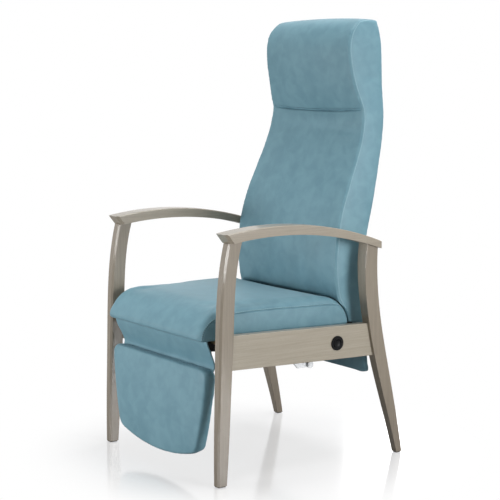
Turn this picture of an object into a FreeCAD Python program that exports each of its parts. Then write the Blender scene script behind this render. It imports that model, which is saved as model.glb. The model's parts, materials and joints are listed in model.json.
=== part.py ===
import FreeCAD, Part
import Sketcher
import math
import os
import re

# High-back rest recliner: open-arm wooden frame, upholstered seat, back that
# reclines on a cross tube, and a legrest that the back lifts with two push rods.
# Millimetres, +Z up, the sitter faces -Y, +X is the sitter's left.
# The origin is on the floor, at the middle of the chair.

os.makedirs("parts", exist_ok=True)
doc = FreeCAD.newDocument("recliner")

STATIONS = ("foot", "ankle", "shin", "rail", "waist", "top")
BACK_STATIONS = (
    "hem", "tail", "heel", "seat", "lumbar", "girdle", "ribs",
    "chest", "neck", "nape", "head", "brow", "crown",
)

# Driving sizes: name, value, what it is
SIZES = [
    ("frame_width", 600, "across the outer faces of the legs"),
    ("glide_height", 3, "plastic glide under each leg"),
    ("glide_inset", 3, "glide inside the outline of the foot"),
    # Front legs: how far the front face lies behind its foremost line, and the depth
    ("front_leg_reach", 307.5, "origin to the foremost line of the front legs"),
    ("front_leg_blank", 690, "length of the leg before the armrest is fitted"),
    ("front_leg_sweep_foot", 0, "front leg, foot"),
    ("front_leg_sweep_ankle", 1, "front leg, ankle"),
    ("front_leg_sweep_shin", 4.5, "front leg, shin"),
    ("front_leg_sweep_rail", 8, "front leg, side rail"),
    ("front_leg_sweep_waist", 18, "front leg, waist"),
    ("front_leg_sweep_top", 48, "front leg, top of the blank"),
    ("front_leg_depth_foot", 28, "front leg, foot"),
    ("front_leg_depth_ankle", 36, "front leg, ankle"),
    ("front_leg_depth_shin", 39.5, "front leg, shin"),
    ("front_leg_depth_rail", 43, "front leg, side rail"),
    ("front_leg_depth_waist", 40.5, "front leg, waist"),
    ("front_leg_depth_top", 43, "front leg, top of the blank"),
    ("front_leg_thickness_foot", 25.5, "front leg across the chair, foot"),
    ("front_leg_thickness_top", 31.5, "front leg across the chair, top"),
    ("front_leg_bevel", 5, "flat on both front corners of the front legs"),
    # Rear legs: how far the front face lies behind the waist, and the depth
    ("rear_leg_reach", 189.3, "origin to the front face of the rear legs at the waist"),
    ("rear_leg_blank", 640, "length of the leg before the armrest is fitted"),
    ("rear_leg_sweep_foot", 120.5, "rear leg, foot"),
    ("rear_leg_sweep_ankle", 84, "rear leg, ankle"),
    ("rear_leg_sweep_shin", 46, "rear leg, shin"),
    ("rear_leg_sweep_rail", 16, "rear leg, side rail"),
    ("rear_leg_sweep_waist", 0, "rear leg, waist"),
    ("rear_leg_sweep_top", 11, "rear leg, top of the blank"),
    ("rear_leg_depth_foot", 20.5, "rear leg, foot"),
    ("rear_leg_depth_ankle", 32, "rear leg, ankle"),
    ("rear_leg_depth_shin", 41.5, "rear leg, shin"),
    ("rear_leg_depth_rail", 44, "rear leg, side rail"),
    ("rear_leg_depth_waist", 44, "rear leg, waist"),
    ("rear_leg_depth_top", 36, "rear leg, top of the blank"),
    ("rear_leg_thickness_foot", 21, "rear leg across the chair, foot"),
    ("rear_leg_thickness_rail", 30, "rear leg across the chair, side rail"),
    ("rear_leg_thickness_top", 41, "rear leg across the chair, top"),
    ("leg_edge", 1.6, "eased edges of the legs, rails and armrests"),
    # Armrests: side view
    ("arm_width", 52, "across the armrest"),
    ("arm_overhang", 8.5, "armrest beyond the outer face of the legs"),
    ("arm_tip_reach", 288, "origin to the tip of the armrest"),
    ("arm_tip_height", 673, "top of the armrest at its tip"),
    ("arm_crown_height", 687, "highest point of the armrest"),
    ("arm_crown_reach", 107, "highest point of the armrest, before the origin"),
    ("arm_rear_reach", 239, "origin to the rear end of the armrest"),
    ("arm_rear_height", 622, "top of the armrest at its rear end"),
    ("arm_rear_thickness", 21, "armrest at its rear end"),
    ("arm_middle_thickness", 27, "armrest at its crown"),
    ("arm_prow_thickness", 25, "armrest over the front of the leg"),
    ("arm_prow_length", 20, "slope under the tip of the armrest"),
    ("arm_prow_bevel", 7, "flat on both corners of the tip"),
    # Side rails
    ("rail_recess", 8, "side rail behind the outer face of the legs"),
    ("rail_thickness", 24, "side rail across the chair"),
    ("rail_depth", 93.5, "height of the side rail"),
    ("rail_top_front", 404.5, "top of the side rail at the front leg"),
    ("rail_fall", 14.5, "fall of the side rail from the front leg to the rear leg"),
    # Seat
    ("seat_underside", 383, "floor to the underside of the seat cushion"),
    ("seat_edge_height", 467.5, "floor to the top edge of the seat cushion"),
    ("seat_crown", 5, "rise of the seat cushion in its middle"),
    ("seat_rake", 4, "how far the front of the seat cushion stands above its rear"),
    ("seat_side_gap", 27, "between the seat cushion and each side rail"),
    ("seat_front_reach", 332, "origin to the nose of the seat cushion"),
    ("seat_rear_reach", 181, "origin to the rear of the seat cushion"),
    ("seat_nose_round", 68, "length of the rounding at the front of the seat"),
    ("seat_rear_round", 74, "length of the rounding at the rear of the seat"),
    ("seat_side_draw", 9, "drawn-in sides of the seat cushion"),
    ("seat_side_round", 15, "width of the rounding along the sides of the seat"),
    ("seat_board_thickness", 12, "plywood under the seat cushion"),
    ("seat_board_inset", 16, "seat board inside each side of the seat cushion"),
    ("seat_board_front_reach", 266, "origin to the front edge of the seat board"),
    ("seat_board_rear_reach", 126, "origin to the rear edge of the seat board"),
    ("front_rail_depth", 40, "front cross rail, front to back"),
    ("front_rail_height", 23, "front cross rail"),
    ("front_rail_reach", 236, "origin to the front face of the front cross rail"),
    ("cross_tube_depth", 40, "steel cross member, front to back"),
    ("cross_tube_height", 25, "steel cross member"),
    ("cross_tube_wall", 2, "wall of the steel cross member"),
    ("cross_tube_reach", 22, "origin to the front face of the steel cross member"),
    ("end_plate_thickness", 6, "end plates of the steel cross member"),
    ("end_plate_length", 64, "end plates, front to back"),
    ("end_plate_drop", 19, "end plates below the underside of the side rail"),
    ("end_plate_corner", 13, "cut corners of the end plates"),
    ("stay_nut_width", 17, "across the flats of the nut on each end plate"),
    ("stay_nut_height", 8, "nut on each end plate"),
    ("stay_bolt_radius", 5, "bolt in each end plate"),
    # Back: pivot and frame
    ("pivot_reach", 150, "origin to the axis of the back"),
    ("pivot_drop", 18, "underside of the seat cushion to the axis of the back"),
    ("pivot_tube_radius", 16, "cross tube on the axis of the back"),
    ("pivot_tube_wall", 2, "wall of the cross tube"),
    ("pivot_play", 0.05, "running fit of the cross tube on its bearings"),
    ("bearing_flange_radius", 25, "flange of the bearing of the back"),
    ("bearing_flange_thickness", 5, "flange of the bearing of the back"),
    ("bearing_spigot_length", 20, "spigot of the bearing inside the cross tube"),
    ("side_play", 0.5, "gap beside the ends of moving steel parts"),
    ("back_arm_inset", 110, "outer face of the legs to the middle of each arm of the back"),
    ("back_arm_thickness", 8, "arms of the back"),
    ("back_arm_height", 30, "arms of the back"),
    ("shell_thickness", 18, "upholstered shell of the back"),
    ("soft_gap", 0.3, "clearance around soft parts"),
    ("seat_back_gap", 1.5, "gap between the seat cushion and the back cushion"),
    ("back_cushion_crown", 11, "bulge of the back cushions in their middle"),
    ("back_side_bulge", 3, "bulge of the sides of the back cushions"),
    ("shell_round", 5, "rounded rear corners of the shell"),
    # Legrest
    ("hinge_reach", 288, "origin to the axis of the legrest"),
    ("hinge_drop", 10, "underside of the seat cushion to the axis of the legrest"),
    ("hinge_pin_radius", 5, "pins of the legrest"),
    ("hinge_eye_radius", 9, "eyes around the pins of the legrest"),
    ("hinge_play", 0.06, "running fit of the eyes on the pins"),
    ("hinge_inset", 100, "outer face of the legs to the middle of each arm of the legrest"),
    ("hinge_arm_thickness", 6, "arms and brackets of the legrest"),
    ("hinge_arm_width", 10, "arms of the legrest"),
    ("legrest_top", 308, "floor to the top of the legrest"),
    ("legrest_bottom", 42, "floor to the lowest point of the legrest"),
    ("legrest_inset_top", 54, "outer face of the legs to the side of the legrest, top"),
    ("legrest_inset_bottom", 90, "outer face of the legs to the side of the legrest, lower corners"),
    ("legrest_corner_height", 100, "floor to the start of the lower corners"),
    ("legrest_corner_inset", 120, "outer face of the legs to each end of the curved bottom edge"),
    ("legrest_corner_rise", 24, "rise of the bottom edge to its corners"),
    ("legrest_front_reach", 316.5, "origin to the front edge of the legrest"),
    ("legrest_cushion_thickness", 28, "cushion of the legrest at its edge"),
    ("legrest_crown", 7, "bulge of the front of the legrest"),
    ("legrest_round", 11, "rounding around the front of the legrest"),
    ("legrest_board_thickness", 12, "board behind the legrest cushion"),
    ("legrest_board_inset", 5, "board inside the outline of the cushion"),
    ("legrest_side_bow", 5, "how far the sides of the legrest curve outwards"),
    ("legrest_top_corner", 22, "rounding of the upper corners of the legrest"),
    ("legrest_lean", 8, "how far the lower edge of the legrest stands before its top"),
    ("legrest_arm_gap", 4, "arms of the legrest below the lower edge of the flap"),
    ("legrest_arm_drop", 86, "length of the arms of the legrest on its board"),
    ("flap_thickness", 7, "flap between the seat and the legrest, front to back"),
    ("flap_top_gap", 12, "upper edge of the flap below the axis of the legrest"),
    ("flap_inset_top", 58, "outer face of the legs to the side of the flap, at the seat"),
    ("flap_inset_bottom", 65, "outer face of the legs to the side of the flap, at the legrest"),
    ("flap_slope", 27, "how far the flap slopes back"),
    ("flap_height", 57, "height of the flap"),
    # Linkage: travel in degrees, levers in millimetres
    ("recline_travel", 32, "travel of the back in degrees"),
    ("legrest_travel", 70, "travel of the legrest in degrees"),
    ("legrest_lever", 26, "lever of the push rods on the legrest"),
    ("back_lever", 54, "lever of the push rods on the back"),
    ("lever_thickness", 6, "levers of the back"),
    ("lever_width", 22, "levers of the back"),
    ("rod_pin_radius", 4, "pins of the push rods"),
    ("rod_radius", 5, "push rods"),
    ("rod_eye_radius", 9.5, "eyes of the push rods"),
    ("rod_eye_thickness", 6, "eyes of the push rods"),
    ("rod_notch_play", 3, "notches of the front cross rail around the push rods"),
    ("rod_front_play", 2.3, "play of the front eyes, where the linkage is opened"),
    ("gas_lever", 60, "lever of the gas spring on the back"),
    ("gas_lever_gap", 16, "between the two plates of the gas spring lever"),
    ("gas_lever_thickness", 5, "plates of the gas spring lever"),
    ("gas_front_reach", 208, "origin to the front pin of the gas spring"),
    ("gas_front_drop", 30, "underside of the front cross rail to the front pin of the gas spring"),
    ("gas_pin_radius", 4, "pins of the gas spring"),
    ("gas_eye_radius", 9, "eye at the rear end of the gas spring"),
    ("gas_eye_thickness", 12, "eye at the rear end of the gas spring"),
    ("gas_rear_play", 2, "play of the rear eye, where the linkage is opened"),
    ("gas_cylinder_radius", 14, "cylinder of the gas spring"),
    ("gas_cylinder_length", 190, "cylinder of the gas spring"),
    ("gas_rod_radius", 5, "rod of the gas spring"),
    ("gas_rod_play", 0.1, "running fit of the rod in the cylinder"),
    ("gas_head_width", 24, "release head across the chair"),
    ("gas_head_length", 34, "release head along the gas spring"),
    ("gas_head_height", 22, "release head"),
    ("gas_bracket_thickness", 4, "plates of the front bracket of the gas spring"),
    ("gas_bracket_length", 28, "front bracket of the gas spring, front to back"),
    # Release button
    ("button_reach", 95, "origin to the axis of the release button"),
    ("button_drop", 59.5, "front end of the top of the side rail to the axis of the release button"),
    ("bezel_radius", 20.3, "flange of the bezel"),
    ("bezel_flange", 3, "bezel proud of the side rail"),
    ("bezel_barrel_radius", 17.5, "barrel of the bezel in the side rail"),
    ("bezel_barrel_tail", 8, "barrel beyond the inner face of the side rail"),
    ("bezel_floor", 3, "floor of the barrel"),
    ("button_radius", 13.5, "release button"),
    ("button_play", 0.1, "running fit of the button in the bezel"),
    ("button_proud", 2, "button proud of the bezel"),
    ("button_travel", 6, "travel of the button"),
    ("button_edge", 1.5, "eased edge of the button"),
    ("cable_radius", 3, "release cable"),
    ("cable_lead", 62, "straight run of the cable behind the bezel"),
    ("cable_tail", 52, "straight run of the cable beside the gas spring"),
    ("cable_clip_width", 14, "clip that holds the cable under the cross member"),
]

BACK_SHAPE = {
    "hem": (227.5, 241.5, 265, 65),
    "tail": (325, 230, 252, 63),
    "heel": (381, 187, 245, 61),
    "seat": (470, 136, 234, 60),
    "lumbar": (560, 129, 234, 60),
    "girdle": (650, 136.5, 250.5, 60.5),
    "ribs": (740, 163, 274.5, 64),
    "chest": (830, 201.5, 296, 70),
    "neck": (983, 243, 322.5, 83),
    "nape": (1045, 222.5, 326, 94),
    "head": (1135, 205, 329, 101),
    "brow": (1195, 211, 324, 104),
    "crown": (1239.5, 252, 319, 111),
}
for station, (height, front, rear, inset) in BACK_SHAPE.items():
    SIZES += [
        (f"back_height_{station}", height, f"back, floor to the {station} line"),
        (f"back_front_{station}", front, f"back, origin to its front, {station} line"),
        (f"back_rear_{station}", rear, f"back, origin to its rear, {station} line"),
        (f"back_inset_{station}", inset, f"outer face of the legs to the side of the back, {station} line"),
    ]

sizes = doc.addObject("Spreadsheet::Sheet", "Sizes")
for row, (alias, number, meaning) in enumerate(SIZES, start=1):
    sizes.set(f"A{row}", meaning)
    sizes.set(f"B{row}", str(number))
    sizes.setAlias(f"B{row}", alias)
doc.recompute()

# Places that several pieces share, written with the sizes
SHARED = {
    "leg_outer": "frame_width / 2",
    "seat_half_width": "rail_inner - seat_side_gap",
    "seat_board_half_width": "seat_half_width - seat_board_inset",
    "hinge_height": "seat_underside - hinge_drop",
    "hinge_offset": "leg_outer - hinge_inset",
    "pivot_height": "seat_underside - pivot_drop",
    "gas_front_height": "front_rail_underside - gas_front_drop",
    "button_height": "rail_top_front - button_drop",
    "rail_outer": "leg_outer - rail_recess",
    "rail_inner": "rail_outer - rail_thickness",
    "rail_slope": "rail_fall / (front_leg_reach + rear_leg_reach)",
    "seat_board_underside": "seat_underside - seat_board_thickness",
    "cross_tube_underside": "seat_board_underside - cross_tube_height",
    "cross_tube_middle": "-cross_tube_reach + cross_tube_depth / 2",
    "rail_under_plate": "rail_top_front - rail_depth - rail_slope * (front_leg_reach + cross_tube_middle)",
    "bearing_face": "rail_inner - bearing_flange_thickness",
    "pivot_tube_end": "bearing_face - side_play",
    "pivot_bore": "pivot_tube_radius - pivot_tube_wall",
    "legrest_board_rear": "-legrest_front_reach + legrest_cushion_thickness + legrest_board_thickness",
    "front_rail_underside": "seat_board_underside - front_rail_height",
    "legrest_slope": "legrest_lean / (legrest_top - legrest_bottom)",
    "legrest_middle": "(legrest_top + legrest_bottom) / 2",
    "legrest_arm_top": "flap_top_z - flap_height - legrest_arm_gap",
    "legrest_arm_low": "legrest_arm_top - legrest_arm_drop",
    "board_at_arm_top": "legrest_board_rear + legrest_slope * (legrest_arm_top - legrest_middle)",
    "board_at_arm_low": "legrest_board_rear + legrest_slope * (legrest_arm_low - legrest_middle)",
    "flap_top_y": "-hinge_reach - hinge_eye_radius",
    "flap_top_z": "hinge_height - flap_top_gap",
    "bracket_offset": "hinge_offset + hinge_arm_thickness + side_play",
    "lever_sine": "sin(recline_travel * 1deg / 2)",
    "lever_cosine": "cos(recline_travel * 1deg / 2)",
    "stay_nut_z": "rail_under_plate - stay_nut_width * 0.68",
    "rod_offset": "hinge_offset - hinge_arm_thickness / 2 - side_play - rod_eye_thickness / 2",
    "rod_top_at_rail": "legrest_pin_z + rod_radius + rod_slope * (-front_rail_reach - legrest_pin_y)",
    "rod_slope": "(back_pin_z - legrest_pin_z) / (back_pin_y - legrest_pin_y)",
    "legrest_pin_y": "-hinge_reach + legrest_lever * sin(legrest_travel * 1deg / 2)",
    "legrest_pin_z": "hinge_height - legrest_lever * cos(legrest_travel * 1deg / 2)",
    "back_pin_y": "pivot_reach + back_lever * sin(recline_travel * 1deg / 2)",
    "back_pin_z": "pivot_height - back_lever * cos(recline_travel * 1deg / 2)",
    "gas_pin_y": "pivot_reach + gas_lever * sin(recline_travel * 1deg / 2)",
    "gas_pin_z": "pivot_height - gas_lever * cos(recline_travel * 1deg / 2)",
}
ALIASES = {alias for alias, number, meaning in SIZES}


def formula(text):
    """The text as an expression on the sheet, with the shared places written out."""
    def spell(match):
        word = match.group(0)
        if word in SHARED:
            return "(" + formula(SHARED[word]) + ")"
        if word in ALIASES:
            return "Sizes." + word
        return word
    return re.sub(r"[a-z_]+(?:_[a-z]+)*", spell, str(text))


def size(text):
    """The value of such a text in millimetres or degrees."""
    value = doc.getObject("Sizes").evalExpression(formula(text))
    return float(getattr(value, "Value", value))


def bind(piece, **properties):
    """Ties properties of a piece to the sheet."""
    for name, text in properties.items():
        piece.setExpression(name, formula(text))


def put(piece, x=0, y=0, z=0):
    """Ties the place of a piece to the sheet."""
    for axis, text in (("x", x), ("y", y), ("z", z)):
        piece.setExpression(f"Placement.Base.{axis}", formula(text))


def turn(piece, axis, angle):
    """Turns a piece about an axis through its place."""
    piece.Placement = FreeCAD.Placement(FreeCAD.Vector(), FreeCAD.Rotation(axis, angle))


RIGHT = FreeCAD.Vector(1, 0, 0)
REAR = FreeCAD.Vector(0, 1, 0)
UP = FreeCAD.Vector(0, 0, 1)
SIDES = (("left", 1), ("right", -1))
SQUARE_TURN = 90


def box(label, length, width, height, x, y, z):
    piece = doc.addObject("Part::Box", label)
    piece.Label = label
    bind(piece, Length=length, Width=width, Height=height)
    put(piece, x, y, z)
    return piece


def rod(label, radius, length, x, y, z, axis=RIGHT):
    """A cylinder that starts at a point and runs along an axis."""
    piece = doc.addObject("Part::Cylinder", label)
    piece.Label = label
    bind(piece, Radius=radius, Height=length)
    if axis is not UP:
        turn(piece, REAR if axis is RIGHT else RIGHT, SQUARE_TURN if axis is RIGHT else -SQUARE_TURN)
    put(piece, x, y, z)
    return piece


def cut(label, base, tool):
    piece = doc.addObject("Part::Cut", label)
    piece.Label = label
    piece.Base = base
    piece.Tool = tool
    return piece


def fuse(label, pieces):
    piece = doc.addObject("Part::MultiFuse", label)
    piece.Label = label
    piece.Shapes = pieces
    return piece


def feature(label, shape):
    """A piece whose curved shape is made from lines, arcs and splines."""
    piece = doc.addObject("Part::Feature", label)
    piece.Label = label
    piece.Shape = shape
    piece.Placement = shape.Placement
    return piece


def origin_plane(body, role):
    return [plane for plane in body.Origin.OriginFeatures if plane.Role == role][0]


def plate(label, x, thickness, corners, holes=()):
    """A plate in a side view: corners and holes are (y, z) and (y, z, radius)."""
    body = doc.addObject("PartDesign::Body", label)
    body.Label = label
    sketch = body.newObject("Sketcher::SketchObject", label + "_outline")
    sketch.AttachmentSupport = [(origin_plane(body, "YZ_Plane"), "")]
    sketch.MapMode = "FlatFace"
    points = [FreeCAD.Vector(size(y), size(z), 0) for y, z in corners]
    for index, point in enumerate(points):
        sketch.addGeometry(Part.LineSegment(point, points[(index + 1) % len(points)]))
    for index, (y, z) in enumerate(corners):
        following = (index + 1) % len(points)
        sketch.addConstraint(Sketcher.Constraint("Coincident", index, 2, following, 1))
        place(sketch, index, 1, y, z)
    for y, z, radius in holes:
        centre = FreeCAD.Vector(size(y), size(z), 0)
        circle = sketch.addGeometry(Part.Circle(centre, FreeCAD.Vector(0, 0, 1), size(radius)))
        place(sketch, circle, 3, y, z)
        number = sketch.addConstraint(Sketcher.Constraint("Radius", circle, size(radius)))
        sketch.setExpression(f"Constraints[{number}]", formula(radius))
    pad = body.newObject("PartDesign::Pad", label + "_pad")
    pad.Profile = sketch
    pad.Midplane = True
    bind(pad, Length=thickness)
    put(body, x)
    return body


def place(sketch, index, vertex, y, z):
    """Holds a point of a sketch at its distances from the sketch's origin."""
    for kind, text in (("DistanceX", y), ("DistanceY", z)):
        number = sketch.addConstraint(
            Sketcher.Constraint(kind, -1, 1, index, vertex, size(text)))
        sketch.setExpression(f"Constraints[{number}]", formula(text))


def at(x, y, z):
    return FreeCAD.Vector(x, y, z)


def line(start, end):
    return Part.LineSegment(start, end).toShape()


def arc(start, middle, end):
    return Part.Arc(start, middle, end).toShape()


def spline(points):
    curve = Part.BSplineCurve()
    curve.interpolate(points)
    return curve.toShape()


def prism(edges, x, width):
    """A side view pulled across the chair from x."""
    face = Part.Face(Part.Wire(edges))
    solid = face.extrude(at(width, 0, 0))
    solid.translate(at(x, 0, 0))
    return solid


def mirrored(shape):
    return shape.mirror(at(0, 0, 0), RIGHT)


# Armrests: one arc over the top, one below, and a bevelled tip
overall = size("frame_width + 2 * arm_overhang")
arm_outer = size("leg_outer + arm_overhang")
arm_inner = arm_outer - size("arm_width")
tip = at(0, -size("arm_tip_reach"), size("arm_tip_height"))
crown = at(0, -size("arm_crown_reach"), size("arm_crown_height"))
arm_rear = at(0, size("arm_rear_reach"), size("arm_rear_height"))
prow = tip + at(0, size("arm_prow_length"), -size("arm_prow_thickness"))
under_crown = crown - at(0, 0, size("arm_middle_thickness"))
under_rear = arm_rear - at(0, 0, size("arm_rear_thickness"))
under_arc = arc(prow, under_crown, under_rear)
arm_side = [arc(tip, crown, arm_rear), line(arm_rear, under_rear),
            arc(under_rear, under_crown, prow), line(prow, tip)]
arm_blank = prism(arm_side, arm_inner, size("arm_width"))
front_corners = [edge for edge in arm_blank.Edges
                 if edge.BoundBox.YMax < prow.y + size("leg_edge")
                 and edge.BoundBox.XLength < size("leg_edge")]
arm_blank = arm_blank.makeChamfer(size("arm_prow_bevel"), front_corners)
arm_edges = [edge for edge in arm_blank.Edges if edge.BoundBox.YLength > size("arm_crown_reach")]
top_edges = sorted(arm_edges, key=lambda edge: edge.CenterOfMass.z)[-2:]
arm_shape = arm_blank.makeFillet(size("2 * leg_edge"), top_edges)
arms = {"left": feature("armrest_left", arm_shape),
        "right": feature("armrest_right", mirrored(arm_shape))}

# Everything above the underside of the armrest, to fit the legs below it
far = size("arm_width")
sky = size("front_leg_blank")
fore = prow - at(0, far, 0)
aft = under_rear + at(0, far, 0)
above_arm = prism([line(fore, prow), under_arc, line(under_rear, aft),
                   line(aft, aft + at(0, 0, sky)), line(aft + at(0, 0, sky), fore + at(0, 0, sky)),
                   line(fore + at(0, 0, sky), fore)], -overall, 2 * overall)


def leg_side(leg, direction, reach):
    """Front and rear edges of a leg in the side view, from the floor up."""
    top = size(leg + "_blank")
    bottom = size("glide_height")
    front, rear = [], []
    for number, station in enumerate(STATIONS):
        height = bottom + (top - bottom) * number / (len(STATIONS) - 1)
        face = direction * reach + size(f"{leg}_sweep_{station}")
        front.append(at(0, face, height))
        rear.append(at(0, face + size(f"{leg}_depth_{station}"), height))
    return front, rear


def side_prism(front, rear, x, width):
    edges = [spline(front), line(front[-1], rear[-1]), spline(rear[::-1]), line(rear[0], front[0])]
    return prism(edges, x, width)


def front_view(points, reach):
    """The legs seen from the front: the outer face is flat, the inner one curved."""
    outer = size("leg_outer")
    inner = [at(outer - thickness, 0, height) for thickness, height in points]
    low, high = at(outer, 0, inner[0].z), at(outer, 0, inner[-1].z)
    edges = [spline(inner), line(inner[-1], high), line(high, low), line(low, inner[0])]
    face = Part.Face(Part.Wire(edges))
    face.translate(at(0, -reach, 0))
    return face.extrude(at(0, 2 * reach, 0))


leg_bottom = size("glide_height")
front_side = leg_side("front_leg", -1, size("front_leg_reach"))
rear_side = leg_side("rear_leg", 1, size("rear_leg_reach"))
front_gap = side_prism(*front_side, -overall, 2 * overall)
rear_gap = side_prism(*rear_side, -overall, 2 * overall)

front_leg = side_prism(*front_side, 0, overall / 2).common(front_view(
    [(size("front_leg_thickness_foot"), leg_bottom),
     (size("front_leg_thickness_top"), size("front_leg_blank"))], overall))
bevel_edges = [edge for edge in front_leg.Edges
               if edge.BoundBox.ZLength > size("front_leg_blank / 2")
               and edge.CenterOfMass.y < -size("front_leg_reach - front_leg_depth_rail / 2")]
front_leg = front_leg.makeChamfer(size("front_leg_bevel"), bevel_edges)
rear_edges = [edge for edge in front_leg.Edges
              if edge.BoundBox.ZLength > size("front_leg_blank / 2")
              and edge.CenterOfMass.y > -size("front_leg_reach - front_leg_depth_rail / 2")]
front_leg = front_leg.makeFillet(size("leg_edge"), rear_edges).cut(above_arm)

rail_middle = size("rail_top_front - rail_depth / 2")
rear_leg = side_prism(*rear_side, 0, overall / 2).common(front_view(
    [(size("rear_leg_thickness_foot"), leg_bottom), (size("rear_leg_thickness_rail"), rail_middle),
     (size("rear_leg_thickness_top"), size("rear_leg_blank"))], overall))
rear_leg_edges = [edge for edge in rear_leg.Edges if edge.BoundBox.ZLength > size("rear_leg_blank / 2")]
rear_leg = rear_leg.makeFillet(size("leg_edge"), rear_leg_edges).cut(above_arm)

feature("front_leg_left", front_leg)
feature("front_leg_right", mirrored(front_leg))
feature("rear_leg_left", rear_leg)
feature("rear_leg_right", mirrored(rear_leg))

# Glides under the legs
for leg, direction in (("front_leg", -1), ("rear_leg", 1)):
    face = f"({direction}) * {leg}_reach + {leg}_sweep_foot"
    for side, sign in SIDES:
        inner = f"leg_outer - {leg}_thickness_foot + glide_inset"
        start = inner if sign > 0 else "-leg_outer + glide_inset"
        box(f"{leg.replace('leg', 'glide')}_{side}", f"{leg}_thickness_foot - 2 * glide_inset",
            f"{leg}_depth_foot - 2 * glide_inset", "glide_height", start,
            f"{face} + glide_inset", "0")

# Side rails between the legs, with the hole of the release button on the sitter's left
rail_front = at(0, -size("front_leg_reach"), size("rail_top_front"))
rail_at_leg = at(0, size("rear_leg_reach"), size("rail_top_front - rail_fall"))
fall = rail_at_leg - rail_front
rail_rear = rail_at_leg + fall * (size("rear_leg_depth_rail") / fall.Length)
drop = at(0, 0, size("rail_depth"))
rail_side = [line(rail_front, rail_rear), line(rail_rear, rail_rear - drop),
             line(rail_rear - drop, rail_front - drop), line(rail_front - drop, rail_front)]
rail_bar = prism(rail_side, size("rail_inner"), size("rail_thickness"))
rail_edges = [edge for edge in rail_bar.Edges if edge.BoundBox.YLength > size("rear_leg_reach")]
fitted_rail = rail_bar.makeFillet(size("leg_edge"), rail_edges).cut(front_gap).cut(rear_gap)
rail = max(fitted_rail.Solids, key=lambda solid: solid.Volume)
button_hole = Part.makeCylinder(
    size("bezel_barrel_radius"), size("2 * rail_thickness"),
    at(size("rail_inner - rail_thickness / 2"), size("button_reach"), size("button_height")), RIGHT)
feature("side_rail_left", rail.cut(button_hole))
feature("side_rail_right", mirrored(rail))


# Seat cushion
def seat_section(x, draw, rise):
    """Side view of the seat cushion at a distance from the middle of the chair."""
    low = size("seat_underside")
    high = size("seat_edge_height") - draw
    front = draw - size("seat_front_reach")
    rear = size("seat_rear_reach") - draw
    nose, heel = size("seat_nose_round"), size("seat_rear_round")
    deep = high - low
    low_front, nose_front = at(x, front + nose / 4, low), at(x, front, low + deep / 4)
    low_bend = at(x, front + nose / 14, low + deep / 16)
    nose_top, rear_top = at(x, front + nose, high + size("seat_rake")), at(x, rear - heel, high)
    nose_bend = at(x, front + nose * 0.24, high - deep * 0.36)
    rear_bend = at(x, rear - heel * 0.41, high - deep * 0.28)
    rear_low = at(x, rear, low)
    crest = (nose_top + rear_top) * 0.5 + at(0, 0, rise)
    return Part.Wire([line(rear_low, low_front), arc(low_front, low_bend, nose_front),
                      arc(nose_front, nose_bend, nose_top), arc(nose_top, crest, rear_top),
                      arc(rear_top, rear_bend, rear_low)])


def seat_cushion(grow):
    """Crowned middle part with rounded ends along both sides."""
    half = size("seat_half_width") + grow
    draw, rounding, rise = size("seat_side_draw"), size("seat_side_round"), size("seat_crown")
    flat = half - rounding
    crest = ((-flat, 0.3), (-flat / 2, 0.8), (0, 1), (flat / 2, 0.8), (flat, 0.3))
    middle = Part.makeLoft([seat_section(x, -grow, share * rise) for x, share in crest], True, False)
    # distance from the side, inset and share of the rise of each line of the rounded ends
    ends = ((rounding, 0, 0.3), (rounding * 0.55, draw * 0.12, 0.25),
            (rounding * 0.2, draw * 0.45, 0.2), (0, draw, 0.1))
    caps = [Part.makeLoft([seat_section(sign * (half - inside), inset - grow, share * rise)
                           for inside, inset, share in ends], True, True) for sign in (1, -1)]
    return middle.fuse(caps)


feature("seat_cushion", seat_cushion(0))

# Board, cross rail and steel cross member under the seat
box("seat_board", "2 * seat_board_half_width", "seat_board_front_reach + seat_board_rear_reach",
    "seat_board_thickness", "-seat_board_half_width", "-seat_board_front_reach", "seat_board_underside")
rail_blank = box("front_rail_blank", "2 * rail_inner", "front_rail_depth", "front_rail_height",
                 "-rail_inner", "-front_rail_reach", "front_rail_underside")
notch_width = "2 * (rod_radius + rod_notch_play)"
notches = [box(f"rod_notch_{side}", notch_width, "front_rail_depth",
               "rod_top_at_rail + rod_notch_play - front_rail_underside",
               f"({sign}) * rod_offset - rod_radius - rod_notch_play", "-front_rail_reach",
               "front_rail_underside")
           for side, sign in SIDES]
cut("front_cross_rail", rail_blank, fuse("rod_notches", notches))
tube_length = "2 * (rail_inner - end_plate_thickness)"
tube_start = "end_plate_thickness - rail_inner"
cut("steel_cross_member",
    box("cross_member_outside", tube_length, "cross_tube_depth", "cross_tube_height",
        tube_start, "-cross_tube_reach", "cross_tube_underside"),
    box("cross_member_inside", tube_length, "cross_tube_depth - 2 * cross_tube_wall",
        "cross_tube_height - 2 * cross_tube_wall", tube_start,
        "cross_tube_wall - cross_tube_reach", "cross_tube_underside + cross_tube_wall"))


def side_rod(label, radius, inner, outer, y, z, sign):
    """A round piece across the chair, on one side, between two distances from the middle."""
    start = inner if sign > 0 else f"-({outer})"
    return rod(label, radius, f"({outer}) - ({inner})", start, y, z)


def hexagon(label, flats, inner, outer, y, z, sign):
    """A hexagonal head or nut across the chair."""
    piece = doc.addObject("Part::Prism", label)
    piece.Label = label
    piece.Polygon = 6
    bind(piece, Circumradius=f"({flats}) / 2 / cos(30deg)", Height=f"({outer}) - ({inner})")
    turn(piece, REAR, SQUARE_TURN)
    put(piece, inner if sign > 0 else f"-({outer})", y, z)
    return piece


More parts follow.
